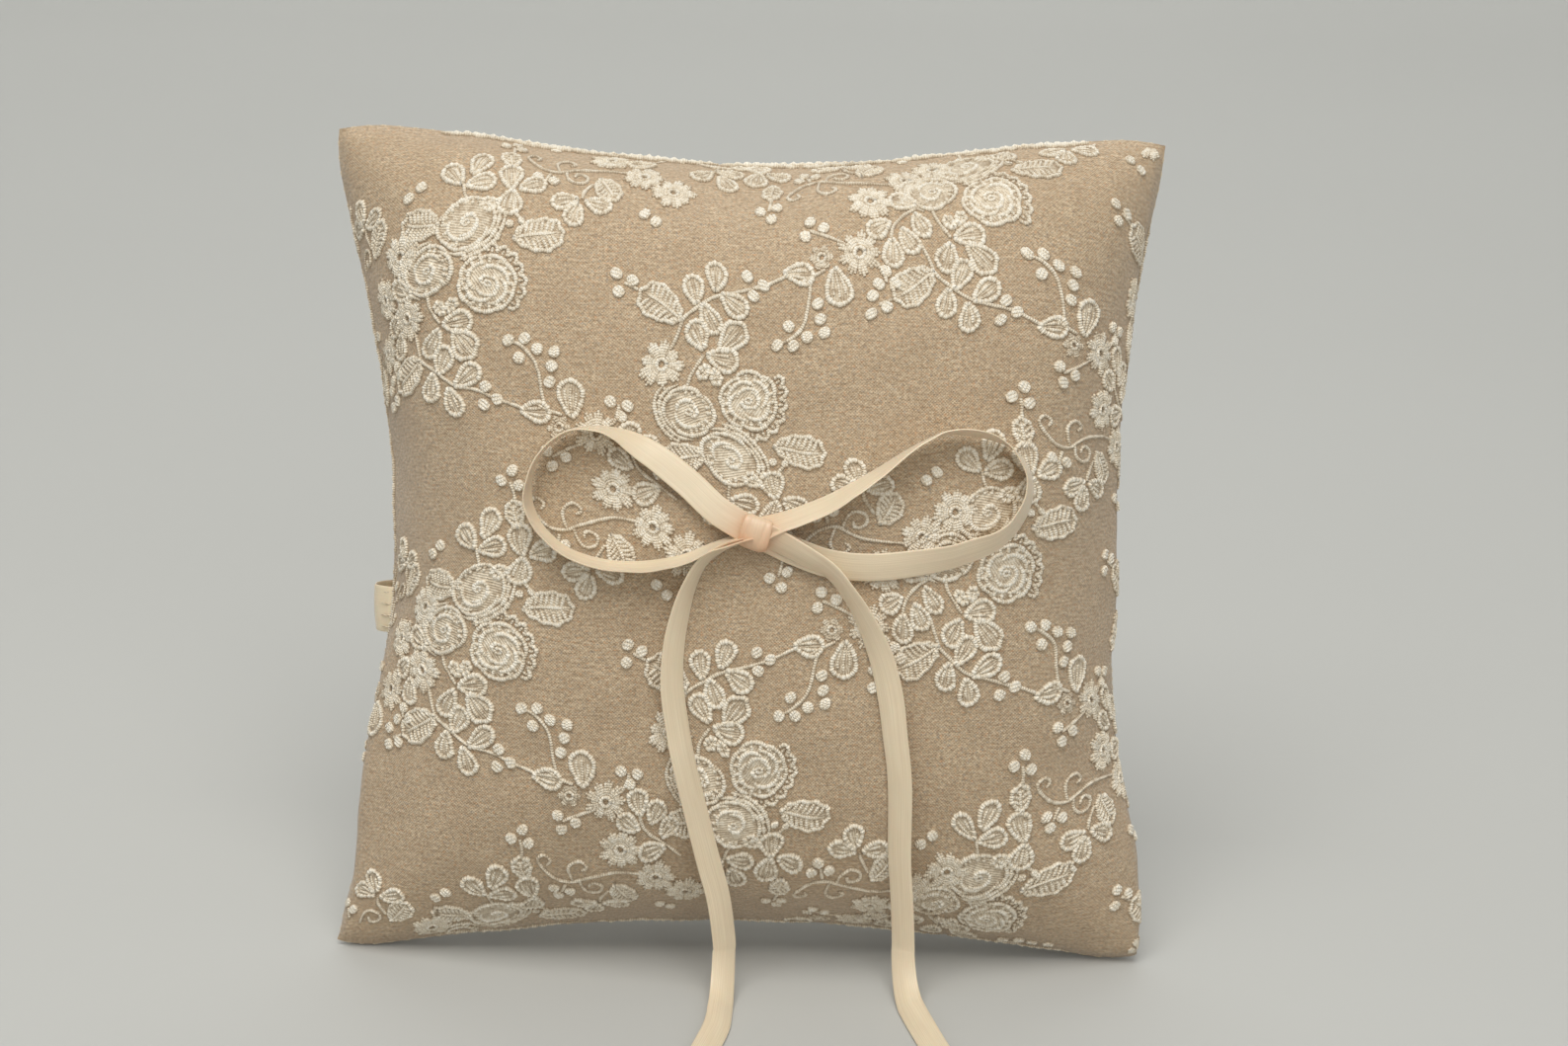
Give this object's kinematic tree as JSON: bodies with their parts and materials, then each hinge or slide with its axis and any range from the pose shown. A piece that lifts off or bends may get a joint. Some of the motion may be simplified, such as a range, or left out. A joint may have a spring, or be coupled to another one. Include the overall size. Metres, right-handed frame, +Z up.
{
  "type": "ring bearer pillow",
  "caption": "Small square stuffed pillow covered in embroidered lace, with a satin ribbon bow whose long tails tie on the rings and a satin hand strap across the back.",
  "frame": {"origin": "on the table, midway between the two bottom corners the pillow stands on", "axes": "+Z up, the bow faces -Y, +X to the right seen from the front; the pillow leans back 15 degrees towards +Y"},
  "size_m": [0.178, 0.1422, 0.1709],
  "materials": {
    "linen": "natural linen, heathered",
    "lace": "ivory embroidery on fine net",
    "satin": "cream satin",
    "thread": "matt sewing thread",
    "filling": "white fibre"
  },
  "bodies": {
    "pillow": {"fibre_filling": "filling", "front_panel": "linen", "back_panel": "linen", "front_lace": "lace", "back_lace": "lace", "seam_stitches": "thread", "closing_stitches": "thread", "hand_strap": "satin", "strap_stitches": "thread", "bow_knot": "satin", "bow_tack_thread": "thread", "left_loop_base": "satin", "right_loop_base": "satin"},
    "left_loop": {"left_loop": "satin"},
    "right_loop": {"right_loop": "satin"},
    "left_tail": {"left_tail_upper": "satin"},
    "left_tail_end": {"left_tail_lower": "satin"},
    "right_tail": {"right_tail_upper": "satin"},
    "right_tail_end": {"right_tail_lower": "satin"}
  },
  "joints": [
    {"name": "left_loop_lift", "type": "hinge", "parent": "pillow", "child": "left_loop", "pos_m": [-0.014, -0.01247, 0.10432], "axis": [0, 0.2588, 0.9659], "range_deg": [0, 45]},
    {"name": "right_loop_lift", "type": "hinge", "parent": "pillow", "child": "right_loop", "pos_m": [0.022, -0.01025, 0.10062], "axis": [0, -0.2588, -0.9659], "range_deg": [0, 45]},
    {"name": "left_tail_lift", "type": "hinge", "parent": "pillow", "child": "left_tail", "pos_m": [-0.0018, -0.00857, 0.09644], "axis": [-1, 0, 0], "range_deg": [0, 65]},
    {"name": "right_tail_lift", "type": "hinge", "parent": "pillow", "child": "right_tail", "pos_m": [0.0076, -0.00938, 0.10038], "axis": [-1, 0, 0], "range_deg": [0, 65]},
    {"name": "left_tail_curl", "type": "hinge", "parent": "left_tail", "child": "left_tail_end", "pos_m": [-0.0042, -0.01517, 0.022], "axis": [-1, 0, 0], "range_deg": [-40, 60]},
    {"name": "right_tail_curl", "type": "hinge", "parent": "right_tail", "child": "right_tail_end", "pos_m": [0.0345, -0.01337, 0.022], "axis": [-1, 0, 0], "range_deg": [-40, 60]}
  ]
}
